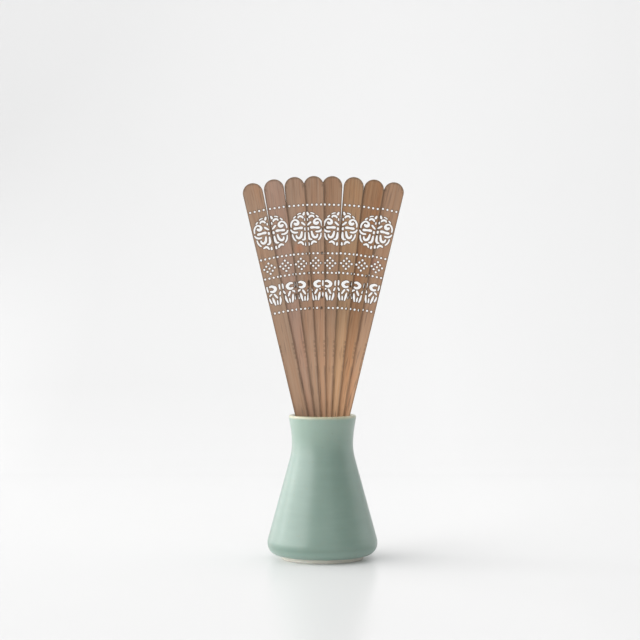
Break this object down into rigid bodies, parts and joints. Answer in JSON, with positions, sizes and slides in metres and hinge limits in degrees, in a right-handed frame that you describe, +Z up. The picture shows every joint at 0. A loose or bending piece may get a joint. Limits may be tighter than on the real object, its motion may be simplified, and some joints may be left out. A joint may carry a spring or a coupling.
{
  "type": "pierced bamboo folding fan in a vase",
  "caption": "Pierced bamboo brise fan with round-tipped slats on one rivet, standing open in a flared celadon-glazed ceramic vase.",
  "frame": {"origin": "centre of the vase's foot, on the surface that it stands on", "axes": "+Z up, along the vase's axis; the fan's slats spread along X; the rivet lies along Y, and -Y is the front"},
  "size_m": [0.0964, 0.0662, 0.2297],
  "materials": {
    "bamboo": "smooth carbonised bamboo, satin, with darker laser-cut edges",
    "glaze": "celadon glaze, glossy, thin and cream at the lip, bare clay at the foot",
    "rivet": "plain turned brass, slightly dulled"
  },
  "bodies": {
    "vase": {"vase_body": "glaze"},
    "fan_pin": {"rivet_pin": "rivet", "rivet_washer_front": "rivet", "rivet_washer_back": "rivet"},
    "slat_1_body": {"slat_1": "bamboo"},
    "slat_2_body": {"slat_2": "bamboo"},
    "slat_3_body": {"slat_3": "bamboo"},
    "slat_4_body": {"slat_4": "bamboo"},
    "slat_5_body": {"slat_5": "bamboo"},
    "slat_6_body": {"slat_6": "bamboo"},
    "slat_7_body": {"slat_7": "bamboo"},
    "slat_8_body": {"slat_8": "bamboo"}
  },
  "joints": [
    {"name": "fan_lift", "type": "slide", "parent": "vase", "child": "fan_pin", "axis": [0, 0, 1], "range_m": [0, 0.09]},
    {"name": "slat_1_pivot", "type": "hinge", "parent": "fan_pin", "child": "slat_1_body", "pos_m": [0, 0, 0.0295], "axis": [0, 1, 0], "range_deg": [0, 12.36]},
    {"name": "slat_2_pivot", "type": "hinge", "parent": "fan_pin", "child": "slat_2_body", "pos_m": [0, 0, 0.0295], "axis": [0, 1, 0], "range_deg": [0, 8.58]},
    {"name": "slat_3_pivot", "type": "hinge", "parent": "fan_pin", "child": "slat_3_body", "pos_m": [0, 0, 0.0295], "axis": [0, 1, 0], "range_deg": [0, 4.93]},
    {"name": "slat_4_pivot", "type": "hinge", "parent": "fan_pin", "child": "slat_4_body", "pos_m": [0, 0, 0.0295], "axis": [0, 1, 0], "range_deg": [0, 1.55]},
    {"name": "slat_5_pivot", "type": "hinge", "parent": "fan_pin", "child": "slat_5_body", "pos_m": [0, 0, 0.0295], "axis": [0, 1, 0], "range_deg": [-1.73, 0]},
    {"name": "slat_6_pivot", "type": "hinge", "parent": "fan_pin", "child": "slat_6_body", "pos_m": [0, 0, 0.0295], "axis": [0, 1, 0], "range_deg": [-5.53, 0]},
    {"name": "slat_7_pivot", "type": "hinge", "parent": "fan_pin", "child": "slat_7_body", "pos_m": [0, 0, 0.0295], "axis": [0, 1, 0], "range_deg": [-9.12, 0]},
    {"name": "slat_8_pivot", "type": "hinge", "parent": "fan_pin", "child": "slat_8_body", "pos_m": [0, 0, 0.0295], "axis": [0, 1, 0], "range_deg": [-12.66, 0]}
  ],
  "couplings": [
    {"joint": "slat_1_pivot", "follows": "slat_8_pivot", "ratio": -0.9763},
    {"joint": "slat_2_pivot", "follows": "slat_8_pivot", "ratio": -0.67773},
    {"joint": "slat_3_pivot", "follows": "slat_8_pivot", "ratio": -0.38942},
    {"joint": "slat_4_pivot", "follows": "slat_8_pivot", "ratio": -0.12243},
    {"joint": "slat_5_pivot", "follows": "slat_8_pivot", "ratio": 0.13665},
    {"joint": "slat_6_pivot", "follows": "slat_8_pivot", "ratio": 0.43681},
    {"joint": "slat_7_pivot", "follows": "slat_8_pivot", "ratio": 0.72038}
  ]
}
